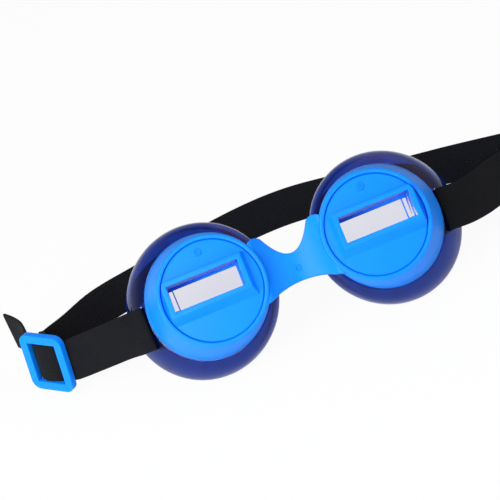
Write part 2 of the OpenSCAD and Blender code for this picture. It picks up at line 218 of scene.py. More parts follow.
def translucent_navy():
    """Moulded navy polycarbonate: see-through, bluer over the floor and nearly black over the strap."""
    cup = bpy.context.scene.goggle_cups
    material, tree, out = new_material("translucent_navy_plastic")
    coords = add_node(tree, "ShaderNodeTexCoord")
    # Slow waves of the moulding, about 12 mm apart
    wave = add_node(tree, "ShaderNodeTexNoise", {"Scale": 1 / (12 * MM), "Detail": 1.0},
                    {"Vector": coords.outputs["Object"]})
    # Flow streaks about 5 mm apart: partly uneven walls from the melt, partly painted light for brighter zones
    # where light shines through
    melt_streak_and_painted_light = add_node(tree, "ShaderNodeTexNoise", {"Scale": 1 / (5 * MM), "Detail": 2.0, "Distortion": 1.2},
                      {"Vector": coords.outputs["Object"]})
    tint = add_node(tree, "ShaderNodeMix", {"data_type": "RGBA", COLOUR_A: scaled(cup.navy, 0.2, 0.3, 0.6),
                                            COLOUR_B: scaled(cup.navy, 1.8, 1.8, 1.9)},
                    {0: melt_streak_and_painted_light.outputs["Fac"]})
    bump = add_node(tree, "ShaderNodeBump", {"Strength": 0.8, "Distance": 0.3 * MM},
                    {"Height": wave.outputs["Fac"]})
    rough = add_node(tree, "ShaderNodeMapRange", {"To Min": 0.02, "To Max": 0.06},
                     {"Value": wave.outputs["Fac"]})
    # Its index of 1.58 is brought down, because the real walls mirror less and stay dark at their edges
    shader = add_node(tree, "ShaderNodeBsdfPrincipled",
                      {"IOR": 1.42, "Transmission Weight": 0.92, "Specular IOR Level": 0.3},
                      {"Base Color": tint.outputs[MIXED], "Normal": bump.outputs["Normal"],
                       "Roughness": rough.outputs["Result"]})
    both = let_light_through(tree, shader, (0.35, 0.45, 0.85))
    tree.links.new(both.outputs[0], out.inputs["Surface"])
    return material


def polished_acrylic():
    """Clear moulded acrylic, polished: it gives a pinkish white, from the room that it turns over."""
    material, tree, out = new_material("clear_acrylic")
    coords = add_node(tree, "ShaderNodeTexCoord")
    # Faint polishing haze, about 3 mm across
    haze = add_node(tree, "ShaderNodeTexNoise", {"Scale": 1 / (3 * MM), "Detail": 2.0},
                    {"Vector": coords.outputs["Object"]})
    rough = add_node(tree, "ShaderNodeMapRange", {"To Min": 0.0, "To Max": 0.04},
                     {"Value": haze.outputs["Fac"]})
    tint = bpy.context.scene.goggle_cups.prism_tint
    # Its real index of 1.49 is on the skin, and the body bends light so little that the view stays plain
    shader = add_node(tree, "ShaderNodeBsdfPrincipled",
                      {"Base Color": (*tint, 1), "IOR": 1.04, "Transmission Weight": 1.0,
                       "Coat Weight": 0.15, "Coat IOR": 1.49},
                      {"Roughness": rough.outputs["Result"]})
    both = let_light_through(tree, shader, (0.97, 0.97, 0.97))
    tree.links.new(both.outputs[0], out.inputs["Surface"])
    return material


def elastic_webbing():
    """Woven elastic in black polyester over rubber: matt, ribbed along its length, with a fine weave across."""
    strap = bpy.context.scene.goggle_strap
    material, tree, out = new_material("black_elastic_webbing")
    # The UV map runs in metres: x along the strap and y across it
    place = add_node(tree, "ShaderNodeUVMap", {"uv_map": "webbing"})
    split = add_node(tree, "ShaderNodeSeparateXYZ", None, {"Vector": place.outputs["UV"]})
    ribs = add_node(tree, "ShaderNodeMath", {"operation": "MULTIPLY", 1: math.tau / (strap.rib_pitch * MM)},
                    {0: split.outputs["Y"]})
    rib_wave = add_node(tree, "ShaderNodeMath", {"operation": "COSINE"}, {0: ribs.outputs[0]})
    # Cross threads every 0.7 mm
    picks = add_node(tree, "ShaderNodeMath", {"operation": "MULTIPLY", 1: math.tau / (0.7 * MM)},
                     {0: split.outputs["X"]})
    pick_wave = add_node(tree, "ShaderNodeMath", {"operation": "COSINE"}, {0: picks.outputs[0]})
    weave = add_node(tree, "ShaderNodeMath", {"operation": "MULTIPLY_ADD", 1: 0.35},
                     {0: pick_wave.outputs[0], 2: rib_wave.outputs[0]})
    # Uneven dye and lint along the yarn
    lint = add_node(tree, "ShaderNodeTexNoise", {"Scale": 1 / (4 * MM), "Detail": 4.0},
                    {"Vector": place.outputs["UV"]})
    # Painted shade: the weave darkens the yarn in the grooves between ribs and threads, and lightens it on
    # their crests
    painted_rib_shade = add_node(tree, "ShaderNodeMath", {"operation": "MULTIPLY_ADD", 1: 0.12, 2: 0.4},
                     {0: weave.outputs[0]})
    lint_and_rib_shade = add_node(tree, "ShaderNodeMath", {"operation": "MULTIPLY_ADD", 1: 0.5},
                     {0: lint.outputs["Fac"], 2: painted_rib_shade.outputs[0]})
    base = add_node(tree, "ShaderNodeMix", {"data_type": "RGBA", COLOUR_A: scaled(strap.yarn, 0.5, 0.5, 0.5),
                                            COLOUR_B: scaled(strap.yarn, 1.5, 1.5, 1.5)},
                    {0: lint_and_rib_shade.outputs[0]})
    bump = add_node(tree, "ShaderNodeBump", {"Strength": 0.55, "Distance": 0.12 * MM},
                    {"Height": weave.outputs[0]})
    shader = add_node(tree, "ShaderNodeBsdfPrincipled",
                      {"Roughness": 0.9, "Specular IOR Level": 0.12, "Sheen Weight": 0.04,
                       "Sheen Roughness": 0.4},
                      {"Base Color": base.outputs[MIXED], "Normal": bump.outputs["Normal"]})
    tree.links.new(shader.outputs["BSDF"], out.inputs["Surface"])
    return material


def bonded_thread():
    """Black bonded nylon thread: smoother and shinier than the webbing, with its twist just showing."""
    material, tree, out = new_material("black_nylon_thread")
    coords = add_node(tree, "ShaderNodeTexCoord")
    # Twist of the plies, every 0.4 mm
    twist = add_node(tree, "ShaderNodeTexWave", {"Scale": 1 / (0.4 * MM) / 3, "Distortion": 1.0},
                     {"Vector": coords.outputs["Object"]})
    # Painted shade: the thread is darker in the grooves of its twist and lighter on the plies' crests
    low, high = hex_to_linear("#17181B"), hex_to_linear("#2E3034")
    base = add_node(tree, "ShaderNodeMix", {"data_type": "RGBA", COLOUR_A: (*low, 1), COLOUR_B: (*high, 1)},
                    {0: twist.outputs["Fac"]})
    bump = add_node(tree, "ShaderNodeBump", {"Strength": 0.4, "Distance": 0.05 * MM},
                    {"Height": twist.outputs["Fac"]})
    shader = add_node(tree, "ShaderNodeBsdfPrincipled", {"Roughness": 0.5, "Specular IOR Level": 0.4},
                      {"Base Color": base.outputs[MIXED], "Normal": bump.outputs["Normal"]})
    tree.links.new(shader.outputs["BSDF"], out.inputs["Surface"])
    return material


# Each finish with the function that makes its material and the slot that it stands for
FINISHES = {
    "blue": (moulded_blue, "blue_plastic"),
    "navy": (translucent_navy, "navy_translucent_plastic"),
    "acrylic": (polished_acrylic, "clear_acrylic"),
    "webbing": (elastic_webbing, "black_elastic"),
    "thread": (bonded_thread, "black_elastic"),
}
MADE = {}


def material_for(finish):
    """The material of that finish, made once."""
    if finish not in MADE:
        MADE[finish] = FINISHES[finish][0]()
    return MADE[finish]


def finish_piece(name, bm, finish, body, nodes=(), sharp=35.0):
    """Makes the bmesh an object that rides on a body and stands for its CAD nodes.

    Edges that turn by more than sharp degrees stay crisp. A blended piece names no body.
    """
    mesh = bpy.data.meshes.new(name)
    for face in bm.faces:
        face.smooth = True
    for edge in bm.edges:
        edge.smooth = edge.calc_face_angle(0.0) < math.radians(sharp)
    bm.to_mesh(mesh)
    bm.free()
    piece = bpy.data.objects.new(name, mesh)
    bpy.context.scene.collection.objects.link(piece)
    mesh.materials.append(material_for(finish))
    if body:
        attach(piece, body)
    if nodes:
        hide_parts(*nodes)
    return piece


def loft(bm, rings, segments=96):
    """Draws a closed skin through circles, each a radius and a placing matrix, and welds it to its start."""
    radius, place = rings[0]
    made = bmesh.ops.create_circle(bm, cap_ends=False, radius=radius, segments=segments, matrix=place)
    edges = list({edge for vert in made["verts"] for edge in vert.link_edges})
    before = place @ Matrix.Scale(radius, 4)
    for radius, place in rings[1:] + rings[:1]:
        grown = bmesh.ops.extrude_edge_only(bm, edges=edges)["geom"]
        fresh = {item for item in grown if isinstance(item, bmesh.types.BMVert)}
        edges = [item for item in grown if isinstance(item, bmesh.types.BMEdge) and set(item.verts) <= fresh]
        after = place @ Matrix.Scale(radius, 4)
        bmesh.ops.transform(bm, matrix=after @ before.inverted(), verts=list(fresh))
        before = after
    # The last circle lies on the first one
    bmesh.ops.remove_doubles(bm, verts=bm.verts, dist=0.002)


def copied(node):
    """A welded copy of a CAD node's mesh, with its flat faces whole."""
    bm = bmesh.new()
    bm.from_mesh(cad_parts[node].data)
    bmesh.ops.remove_doubles(bm, verts=bm.verts, dist=1e-6)
    bmesh.ops.dissolve_limit(bm, angle_limit=math.radians(0.6), verts=bm.verts, edges=bm.edges)
    return bm


def round_edges(bm, edges, width, segments):
    """Rounds edges over a width in the bmesh's own units."""
    bmesh.ops.bevel(bm, geom=edges, offset=width, offset_type="OFFSET", affect="EDGES", segments=segments,
                    profile=0.5, material=-1, clamp_overlap=True)


def soften(bm, width, segments=2, shortest=0.0):
    """Rounds a copy's edges that turn by over 30 degrees and aren't shorter than the shortest, mm."""
    edges = [e for e in bm.edges if e.is_manifold and e.calc_face_angle(0.0) > math.radians(30)
             and e.calc_length() > shortest * MM]
    round_edges(bm, edges, width * MM, segments)


def stand_up(bm, side=1):
    """Moves a piece from goggle axes to the frame, and turns a right-hand one over for side -1."""
    bmesh.ops.recalc_face_normals(bm, faces=bm.faces)
    if side < 0:
        bmesh.ops.scale(bm, vec=(-1, 1, 1), verts=bm.verts)
        bmesh.ops.recalc_face_normals(bm, faces=bm.faces)
    bmesh.ops.transform(bm, matrix=goggle_axes(), verts=bm.verts)


def cup_frames():
    """Placing matrices of the right cup, in goggle axes: front ring, housing base and rim."""
    cup = bpy.context.scene.goggle_cups
    half = cup.cap_spacing / 2
    tilt = Matrix.Rotation(cup.toe, 4, "Y")
    ring = Matrix.Translation((half, 0, 0))
    base = Matrix.Translation((half + BASE_OUT, 0, BASE_UP)) @ tilt
    rim = Matrix.Translation((half + RIM_OUT, 0, 0)) @ tilt
    return ring, base, rim


def up(distance):
    """A shift along +Z."""
    return Matrix.Translation((0, 0, distance))


def saddle(x):
    """Height of the bridge's front face: lowest over the nose and level with the rings at its ends."""
    nose, rings = 18.5, 24.4
    return min(nose + 0.037 * x * x, rings)


def upper_edge(x):
    """Upper outline of the bridge: the notch for the nose, rounded into its corners."""
    middle, notch_half, corner_at, corner_top = 2.5, 8.6, 10.6, 11.6
    x = abs(x)
    notch = middle + 0.112 * min(x, notch_half) ** 2
    if x <= notch_half:
        return notch
    if x <= corner_at:
        return notch + 0.85 * math.sin((x - notch_half) / (corner_at - notch_half) * math.pi / 2)
    return corner_top - 0.12 * (x - corner_at) ** 2


def lower_edge(x):
    """Lower outline of the bridge: a flat arch that falls away beside the cups."""
    middle, arch_half, arch_end = -7.9, 9.6, -9.75
    x = abs(x)
    if x <= arch_half:
        return middle - 0.02 * x * x
    return arch_end - 0.62 * (x - arch_half) + 0.045 * (x - arch_half) ** 2


class GOGGLES_OT_housings(bpy.types.Operator):
    """Builds the two cup housings as lofts from the round ring to the tilted base"""

    bl_idname = "goggles.housings"
    bl_label = "Cup housings"

    def execute(self, context):
        cup = context.scene.goggle_cups
        ring, base, _ = cup_frames()
        outer, seat, ledge = cup.ring_r, cup.seat_r, cup.seat_r - 0.7
        inner, bore = outer - cup.housing_wall, cup.base_r - cup.housing_wall
        foot = base @ up(0.6)
        top = Vector((cup.cap_spacing / 2, 0, cup.front - 0.7))
        steps, belly = 9, 0.35
        for side, word in ((-1, "left"), (1, "right")):
            bm = bmesh.new()
            rings = [(cup.base_r - 0.25, base), (cup.base_r, base @ up(0.25)), (cup.base_r, foot)]
            # The wall turns from the base's tilt to the ring's, with a slight belly
            for t in (i / steps for i in range(1, steps)):
                radius = cup.base_r + (outer - cup.base_r) * t + belly * math.sin(math.pi * t)
                tilt = Matrix.Rotation(cup.toe * (1 - t), 4, "Y")
                rings.append((radius, Matrix.Translation(foot.translation.lerp(top, t)) @ tilt))
            # The ring's rounded top, the seat of the lens cap, its ledge and the way back inside
            for radius, height in (
                    (outer, -0.6), (outer - 0.12, -0.25), (outer - 0.4, -0.04), (outer - 0.7, 0.0),
                    (seat + 0.35, 0.0), (seat + 0.1, -0.08), (seat, -0.3), (seat, -SEAT_DEPTH),
                    (ledge, -SEAT_DEPTH), (ledge, -SEAT_DEPTH - 1.4), (inner, -SEAT_DEPTH - 1.4)):
                rings.append((radius, ring @ up(cup.front + height)))
            rings += [(bore - 0.5, base @ up(NECK_DEPTH)), (bore, base @ up(NECK_DEPTH)), (bore, base)]
            loft(bm, rings)
            stand_up(bm, side)
            finish_piece(f"cup_housing_{word}", bm, "blue", "goggles", ["front_frame"])
        return {"FINISHED"}


def gate_ring(bm, place, radius):
    """Adds the raised ring that the mould's gate leaves, at a place on a front face in goggle axes."""
    spot = Matrix.Translation(place)
    extra = bmesh.new()
    loft(extra, [(radius - inward, spot @ up(height)) for inward, height in (
        (0, -0.2), (0.05, 0.2), (0.17, 0.34), (0.4, 0.34), (0.55, 0.2), (0.6, -0.2))], segments=32)
    stand_up(extra)
    mesh = bpy.data.meshes.new("gate")
    extra.to_mesh(mesh)
    extra.free()
    bm.from_mesh(mesh)
    bpy.data.meshes.remove(mesh)


class GOGGLES_OT_bridge(bpy.types.Operator):
    """Builds the saddle-shaped nose bridge with its notch and gate mark"""

    bl_idname = "goggles.bridge"
    bl_label = "Nose bridge"

    def execute(self, context):
        cup = context.scene.goggle_cups
        half = cup.cap_spacing / 2
        # The bridge's ends run up the rings from their foot, and reach a little into them
        end_low, end_high, bite = -11.9, 10.6, 0.7
        bm = bmesh.new()
        bmesh.ops.create_grid(bm, x_segments=64, y_segments=20, size=1.0)
        for vert in bm.verts:
            share = (vert.co.y + 1) / 2
            beside = end_low + share * (end_high - end_low)
            x = vert.co.x * (half - math.sqrt((cup.ring_r - bite) ** 2 - beside ** 2))
            low, high = lower_edge(x), upper_edge(x)
            vert.co = Vector((x, low + (high - low) * share, saddle(x)))
        bmesh.ops.solidify(bm, geom=bm.verts[:] + bm.edges[:] + bm.faces[:], thickness=cup.bridge_t)
        bmesh.ops.recalc_face_normals(bm, faces=bm.faces)
        sharp = [e for e in bm.edges if e.calc_face_angle(0.0) > math.radians(50)]
        round_edges(bm, sharp, 0.45, 3)
        bmesh.ops.transform(bm, matrix=goggle_axes(), verts=bm.verts)
        gate_ring(bm, (0, -3.4, saddle(0)), 1.2)
        finish_piece("nose_bridge", bm, "blue", "goggles", ["front_frame"], sharp=30)
        return {"FINISHED"}


class GOGGLES_OT_lens_caps(bpy.types.Operator):
    """Rounds the lens caps' edges and finishes the prisms and their retainers"""

    bl_idname = "goggles.lens_caps"
    bl_label = "Lens caps and prisms"

    def execute(self, context):
        half = context.scene.goggle_cups.cap_spacing / 2
        for out, side in ((-1, "left"), (1, "right")):
            bm = copied(f"lens_cap_{side}")
            soften(bm, 0.27, segments=3, shortest=0.6)
            gate_ring(bm, (out * half, GATE_UP, CAP_FACE), 1.45)
            finish_piece(f"turret_cap_{side}", bm, "blue", "goggles", [f"lens_cap_{side}"], sharp=40)
            bm = copied(f"prism_{side}")
            soften(bm, 0.1)
            finish_piece(f"glass_prism_{side}", bm, "acrylic", "goggles", [f"prism_{side}"], sharp=20)
            bm = copied(f"prism_retainer_{side}")
            edge = max(out * vert.co.x for vert in bm.verts)
            # The inner edge of its bar at the temple end moves inward, to leave a rib
            for vert in bm.verts:
                if 1.5 * MM < edge - out * vert.co.x < 2.5 * MM:
                    vert.co.x -= out * 0.42 * MM
            soften(bm, 0.12)
            keeper = finish_piece(f"retaining_frame_{side}", bm, "blue", "goggles",
                                  [f"prism_retainer_{side}"], sharp=40)
            # That bar is slotted, so light comes through on both sides of the thin rib
            cut_slot(keeper, Matrix.Translation((out * (edge / MM - 1.31), 2.05, 6.2)), (1.45, 7.2, 4))
        return {"FINISHED"}


def bell_ring(angle, inset):
    """Radius, height and sideways shift of one circle of the shield's bell."""
    cup = bpy.context.scene.goggle_cups
    # How far the rim stands out past the top of the bell
    reach = 6.8
    rise = BASE_UP * math.cos(cup.toe) - (RIM_OUT - BASE_OUT) * math.sin(cup.toe)
    shift = BASE_UP * math.sin(cup.toe) + (RIM_OUT - BASE_OUT) * math.cos(cup.toe)
    height = (rise - inset) * math.cos(angle)
    return cup.rim_r - reach + (reach - inset) * math.sin(angle), height, -shift * height / rise


class GOGGLES_OT_eye_shields(bpy.types.Operator):
    """Builds the flared eye shields with their necks and strap slots"""

    bl_idname = "goggles.eye_shields"
    bl_label = "Eye shields"

    def execute(self, context):
        cup = context.scene.goggle_cups
        strap = context.scene.goggle_strap
        wall = cup.shield_wall
        _, base, rim = cup_frames()
        neck = cup.base_r - cup.housing_wall - SEATED
        neck_top = base @ up(NECK_DEPTH - 0.4)
        for side, word in ((-1, "left"), (1, "right")):
            bm = bmesh.new()
            rings = [(neck - wall, neck_top), (neck, neck_top), (neck, base @ up(-0.05))]
            angles = [math.radians(a) for a in (9, 15, 22, 30, 38, 46, 54, 62, 70, 77, 83, 87)]
            for angle in angles:
                radius, height, shift = bell_ring(angle, 0)
                rings.append((radius, rim @ Matrix.Translation((shift, 0, height))))
            rings += [(cup.rim_r - 0.15, rim @ up(0.12)), (cup.rim_r - 0.45, rim),
                      (cup.rim_r - wall + 0.25, rim), (cup.rim_r - wall, rim @ up(0.2))]
            for angle in reversed(angles):
                radius, height, shift = bell_ring(angle, wall)
                rings.append((radius, rim @ Matrix.Translation((shift, 0, height))))
            rings.append((neck - wall, base @ up(-wall)))
            loft(bm, rings)
            stand_up(bm, side)
            shield = finish_piece(f"flared_shield_{word}", bm, "navy", "goggles", [f"eye_shield_{word}"],
                                  sharp=50)
            # The webbing hangs on the lower end of its slot, so the spare length is above it
            cut_slot(shield, slot_frame(side) @ Matrix.Translation((0, 0.1, -0.5)),
                     (strap.thickness + 0.2, strap.width + 0.4, 9.0))
        return {"FINISHED"}


def slot_point():
    """The middle of the right strap slot, in goggle axes."""
    cup = bpy.context.scene.goggle_cups
    # It lies 21 degrees down the bell and 2.4 mm below the middle of the caps
    radius, height, shift = bell_ring(math.radians(21), 0)
    x = cup.cap_spacing / 2 + RIM_OUT + (radius + shift) * math.cos(cup.toe) + height * math.sin(cup.toe)
    z = height * math.cos(cup.toe) - (radius + shift) * math.sin(cup.toe)
    return Vector((x, -2.4, z))


def slot_frame(side):
    """Placing matrix of a strap slot: x across it, y along it and z out of the shield."""
    point = slot_point()
    return (Matrix.Translation((side * point.x, point.y, point.z))
            @ Matrix.Rotation(side * math.radians(20), 4, "Y"))


def cut_slot(piece, place, size):
    """Cuts a box of a size at a place in goggle axes out of a piece, and applies the cut."""
    bm = bmesh.new()
    bmesh.ops.create_cube(bm, size=1.0, matrix=goggle_axes() @ place @ Matrix.Diagonal((*size, 1.0)))
    bmesh.ops.recalc_face_normals(bm, faces=bm.faces)
    mesh = bpy.data.meshes.new("cutter")
    bm.to_mesh(mesh)
    bm.free()
    cutter = bpy.data.objects.new("cutter", mesh)
    bpy.context.scene.collection.objects.link(cutter)
    cut = piece.modifiers.new("slot", "BOOLEAN")
    cut.operation = "DIFFERENCE"
    cut.solver = "EXACT"
    cut.object = cutter
    bpy.context.view_layer.update()
    evaluated = piece.evaluated_get(bpy.context.evaluated_depsgraph_get())
    done = bpy.data.meshes.new_from_object(evaluated)
    piece.modifiers.clear()
    old = piece.data
    piece.data = done
    bpy.data.objects.remove(cutter)
    bpy.data.meshes.remove(mesh)
    bpy.data.meshes.remove(old)


def smooth_route(points, steps):
    """Points on a Catmull-Rom curve through the given ones, each a tuple of place and cross direction."""
    out = []
    last = len(points) - 1
    for i in range(last):
        near = [points[max(i - 1, 0)], points[i], points[i + 1], points[min(i + 2, last)]]
        for j in range(steps):
            t = j / steps
            out.append(tuple(
                0.5 * (2 * near[1][k] + (near[2][k] - near[0][k]) * t
                       + (2 * near[0][k] - 5 * near[1][k] + 4 * near[2][k] - near[3][k]) * t * t
                       + (3 * near[1][k] - near[0][k] - 3 * near[2][k] + near[3][k]) * t ** 3)
                for k in (0, 1)))
    out.append(points[last])
    return out


def ribbon(route, width, thickness):
    """A strap along a route: a rounded flat section drawn along it edge by edge, with a webbing UV map."""
    bm = bmesh.new()
    uv = bm.loops.layers.uv.new("webbing")
    half_w, half_t = width / 2, thickness / 2
    corner = half_t * 0.7
    outline = []
    for turn in range(4):
        corner_x = (half_w - corner) * (1 if turn in (0, 3) else -1)
        corner_y = (half_t - corner) * (1 if turn in (0, 1) else -1)
        for k in range(3):
            a = math.pi / 2 * (turn + k / 2)
            outline.append((corner_x + corner * math.cos(a), corner_y + corner * math.sin(a)))
    across = 10
    top = [(half_w - corner - (width - 2 * corner) * i / across, half_t) for i in range(1, across)]
    low = [(-x, -y) for x, y in top]
    outline = outline[:3] + top + outline[3:9] + low + outline[9:]
    count = len(outline)
    travelled = 0.0
    last = len(route) - 1
    loops, lengths = [], []
    for i, (point, cross) in enumerate(route):
        along = (route[min(i + 1, last)][0] - route[max(i - 1, 0)][0]).normalized()
        side = (cross - cross.dot(along) * along).normalized()
        out = along.cross(side)
        if i:
            travelled += (point - route[i - 1][0]).length
        lengths.append(travelled)
        places = [point + side * x + out * y for x, y in outline]
        if not loops:
            verts = [bm.verts.new(p) for p in places]
            edges = [bm.edges.new((verts[k], verts[(k + 1) % count])) for k in range(count)]
            loops.append(verts)
            continue
        grown = bmesh.ops.extrude_edge_only(bm, edges=edges)
        fresh = [g for g in grown["geom"] if isinstance(g, bmesh.types.BMVert)]
        edges = [g for g in grown["geom"] if isinstance(g, bmesh.types.BMEdge)
                 and all(v in fresh for v in g.verts)]
        partner = {}
        for vert in fresh:
            for edge in vert.link_edges:
                other = edge.other_vert(vert)
                if other in loops[-1]:
                    partner[other] = vert
        verts = [partner[v] for v in loops[-1]]
        for vert, place in zip(verts, places):
            vert.co = place
        edges = [bm.edges.get((verts[k], verts[(k + 1) % count])) for k in range(count)]
        loops.append(verts)
    bm.faces.new(loops[0])
    bm.faces.new(loops[-1])
    where = {}
    for i, verts in enumerate(loops):
        for k, vert in enumerate(verts):
            where[vert] = (lengths[i], outline[k][0])
    for face in bm.faces:
        for loop in face.loops:
            x, y = where[loop.vert]
            loop[uv].uv = (x * MM, y * MM)
    bmesh.ops.recalc_face_normals(bm, faces=bm.faces)
    bmesh.ops.scale(bm, vec=(MM, MM, MM), verts=bm.verts)
    return bm


# Middle of the buckle's frame, mm
BUCKLE_AT = Vector((-96.5, 14 + GOGGLE_Y, 16))


def buckle_axes():
    """Directions of the buckle: along the strap, across it and out of its front."""
    plan, drop, lean = (math.radians(a) for a in (-41, -4, 5))
    plan_b = Vector((math.cos(plan), math.sin(plan), 0))
    plan_n = Vector((math.sin(plan), -math.cos(plan), 0))
    lean_l = Vector((0, 0, math.cos(lean))) - math.sin(lean) * plan_n
    b = math.cos(drop) * plan_b + math.sin(drop) * lean_l
    l = math.cos(drop) * lean_l - math.sin(drop) * plan_b
    return b, l, b.cross(l)


def on_buckle(along, out):
    """A point in the buckle's axes, on the middle line of the strap."""
    b, _, n = buckle_axes()
    return BUCKLE_AT + b * along + n * out


def loop_axes():
    """The sewn loop round the centre bar: its middle, the direction of its two legs, and across them."""
    b, _, n = buckle_axes()
    leave = math.radians(220)
    side = leave + math.pi / 2
    away = b * math.cos(leave) + n * math.sin(leave)
    return on_buckle(0, -PIN_BACK), away, b * math.cos(side) + n * math.sin(side)


def run_end():
    """Where the front run meets its slot."""
    point = slot_point() + RUN_SHIFT
    point.x = -point.x
    return axes_in_mm() @ point


def front_run():
    """Start, direction and cross direction of the straight front run."""
    start = on_buckle(8.5, -2.15)
    run = (run_end() - start).normalized()
    lean = math.radians(9)
    cross = Vector((0, math.sin(lean), math.cos(lean)))
    cross = (cross - cross.dot(run) * run).normalized()
    return start, run, cross


class GOGGLES_OT_strap(bpy.types.Operator):
    """Lays the elastic strap: the front run through the buckle with its tail, and the run round the head"""

    bl_idname = "goggles.strap"
    bl_label = "Elastic strap"

    def execute(self, context):
        strap = context.scene.goggle_strap
        to_frame = axes_in_mm()
        slot_up = (to_frame.to_3x3() @ Vector((0, 1, 0))).normalized()
        standing = Vector((0, 0, 1))

        def slot_route(side):
            """From the folded hem behind the wall out through the slot."""
            place = to_frame @ slot_frame(side)
            fold = -side * strap.thickness
            return [(place @ Vector((x, 0, z)), slot_up) for x, z in (
                (fold, -4.1), (fold, -6.2), (fold * 0.5, -6.75), (0, -6.2), (0, -3.5), (0, -0.6))]

        start, run, cross = front_run()
        # Near its slot the run turns from the slot's slant to its own
        away = [(run_end(), slot_up), (start + run * 32.0, (slot_up * 0.8 + cross * 0.2).normalized()),
                (start + run * 28.5, (slot_up * 0.3 + cross * 0.7).normalized())]
        legs = [(start + run * d, cross) for d in (24, 18, 12, 8, 5)]
        _, buckle_l, _ = buckle_axes()
        # Past the bar the tail sags a little toward the buckle's lower side
        bar = [(on_buckle(b, n) - buckle_l * sag, buckle_l) for b, n, sag in (
            (8.6, -2.15, 0), (6.9, -2.05, 0), (5.2, -1.35, 0), (3.2, -0.35, 0), (1.4, 0.05, 0), (0, 0.17, 0.1),
            (-1.4, 0.05, 0.25), (-3.2, -0.35, 0.45), (-5.2, -1.4, 0.8), (-6.8, -2.5, 1.0))]
        # The free end stands behind the buckle and bends away outward
        tail = [(Vector((x, y + GOGGLE_Y, 16.2)), standing) for x, y in (
            (-101.4, 23), (-101.2, 28), (-101.6, 32.7), (-102.8, 37.6), (-105.4, 43), (-107.8, 46.8))]
        route = smooth_route(slot_route(-1) + away + legs + bar + tail, 4)
        bm = ribbon(route, strap.width, strap.thickness)
        front = finish_piece("front_ribbon", bm, "webbing", None,
                             ["strap_front_left", "strap_adjuster_end"], sharp=60)
        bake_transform(front)

        # The sewn loop: in along one leg, round the bar, and out along the other
        bar_at, away, across = loop_axes()
        b, l, n = buckle_axes()
        reach = PIN_R + SEATED + strap.thickness / 2
        layer = strap.thickness / 2 + 0.01
        leg = [(8.0, layer), (5.6, layer), (3.6, layer + 0.15), (2.0, layer + 0.65)]
        wrap = [(bar_at + away * d - across * p, l) for d, p in leg]
        for turn in (145, 115, 85, 55, 25, -5, -35, -65):
            a = math.radians(turn)
            wrap.append((bar_at + b * math.cos(a) * reach + n * math.sin(a) * reach, l))
        # The run droops a little as it leaves the loop
        wrap += [(bar_at + away * d + across * p - standing * 0.02 * d * d, l) for d, p in reversed(leg)]
        # Behind the cups, round the back of the head
        long_run = [(Vector((x, y + GOGGLE_Y, z)), standing) for x, y, z in (
            (-95.6, 27.2, 12.9), (-93.3, 30.8, 12.3), (-86.3, 36.4, 11.7), (-77, 45.5, 10.8),
            (-68, 52, 9.6), (-55.5, 57.6, 8.6), (-38, 64.4, 8), (-20, 69.8, 8), (-3, 72.4, 8), (11, 71.9, 8),
            (25, 68.4, 8), (42, 62.5, 8), (60.5, 56.3, 8.6), (74, 50, 9.8), (86, 43.2, 11.2), (97, 36.9, 12.4),
            (104.6, 30.8, 13.6))]
        end = to_frame @ (slot_point() + RUN_SHIFT)
        # The run leans over little by little to lie in the slot
        closing = [(place, standing.lerp(slot_up, share)) for place, share in (
            (Vector((106.6, 24.8 + GOGGLE_Y, 14.8)), 0.11), (Vector((101, 19.8 + GOGGLE_Y, 16.4)), 0.44),
            (end + Vector((34.1, 21.7, -7)), 0.78), (end + Vector((24.6, 15.2, -5.3)), 1),
            (end + Vector((15.4, 7.7, -3.6)), 1), (end + Vector((7.4, 3.3, -2.2)), 1), (end, 1))]
        closing += list(reversed(slot_route(1)))
        route = smooth_route(wrap + long_run + closing, 4)
        bm = ribbon(route, strap.width, strap.thickness)
        back = finish_piece("back_ribbon", bm, "webbing", None, ["strap_back", "strap_sewn_loop"], sharp=60)
        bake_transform(back)
        return {"FINISHED"}


def stitch_row(bm, place, width):
    """Adds a row of lock stitches: x out of the webbing, y across it and z along it."""
    pitch, thick, long, wide = 2.1, 0.34, 1.55, 0.42
    count = int((width - 1.5) / pitch)
    size = Matrix.Diagonal((thick, long, wide, 1))
    for i in range(count):
        shift = Matrix.Translation((0, (i - (count - 1) / 2) * pitch, 0))
        bmesh.ops.create_cube(bm, size=1.0, matrix=place @ shift @ size)


def finish_stitches(name, bm, body):
    """Rounds the stitches and makes them a piece."""
    round_edges(bm, bm.edges[:], 0.12, 1)
    bmesh.ops.recalc_face_normals(bm, faces=bm.faces)
    bmesh.ops.scale(bm, vec=(MM, MM, MM), verts=bm.verts)
    finish_piece(name, bm, "thread", body, sharp=60)


class GOGGLES_OT_stitching(bpy.types.Operator):
    """Sews the hems behind the slots and the loop round the buckle's bar"""

    bl_idname = "goggles.stitching"
    bl_label = "Stitching"

    def execute(self, context):
        strap = context.scene.goggle_strap
        to_frame = axes_in_mm()
        for side, word in ((-1, "left"), (1, "right")):
            bm = bmesh.new()
            for offset in (-side * (1.5 * strap.thickness + 0.03), side * (0.5 * strap.thickness + 0.03)):
                stitch_row(bm, to_frame @ slot_frame(side) @ Matrix.Translation((offset, 0, -5.1)), strap.width)
            finish_stitches(f"hem_stitches_{word}", bm, "goggles")
        bar_at, away, across = loop_axes()
        _, l, _ = buckle_axes()
        bm = bmesh.new()
        turned = Matrix((across, l, away)).transposed().to_4x4()
        for distance in (4.9, 7.1):
            for offset in (-strap.thickness - 0.04, strap.thickness + 0.04):
                place = Matrix.Translation(bar_at + away * distance + across * offset)
                stitch_row(bm, place @ turned, strap.width)
        finish_stitches("loop_stitches", bm, "buckle")
        return {"FINISHED"}


class GOGGLES_OT_buckle(bpy.types.Operator):
    """Rounds the slide buckle's moulded edges"""

    bl_idname = "goggles.buckle"
    bl_label = "Slide buckle"

    def execute(self, context):
        bm = copied("slide_buckle")
        soften(bm, 0.55, segments=4)
        finish_piece("ladder_buckle", bm, "blue", "buckle", ["slide_buckle"], sharp=50)
        return {"FINISHED"}


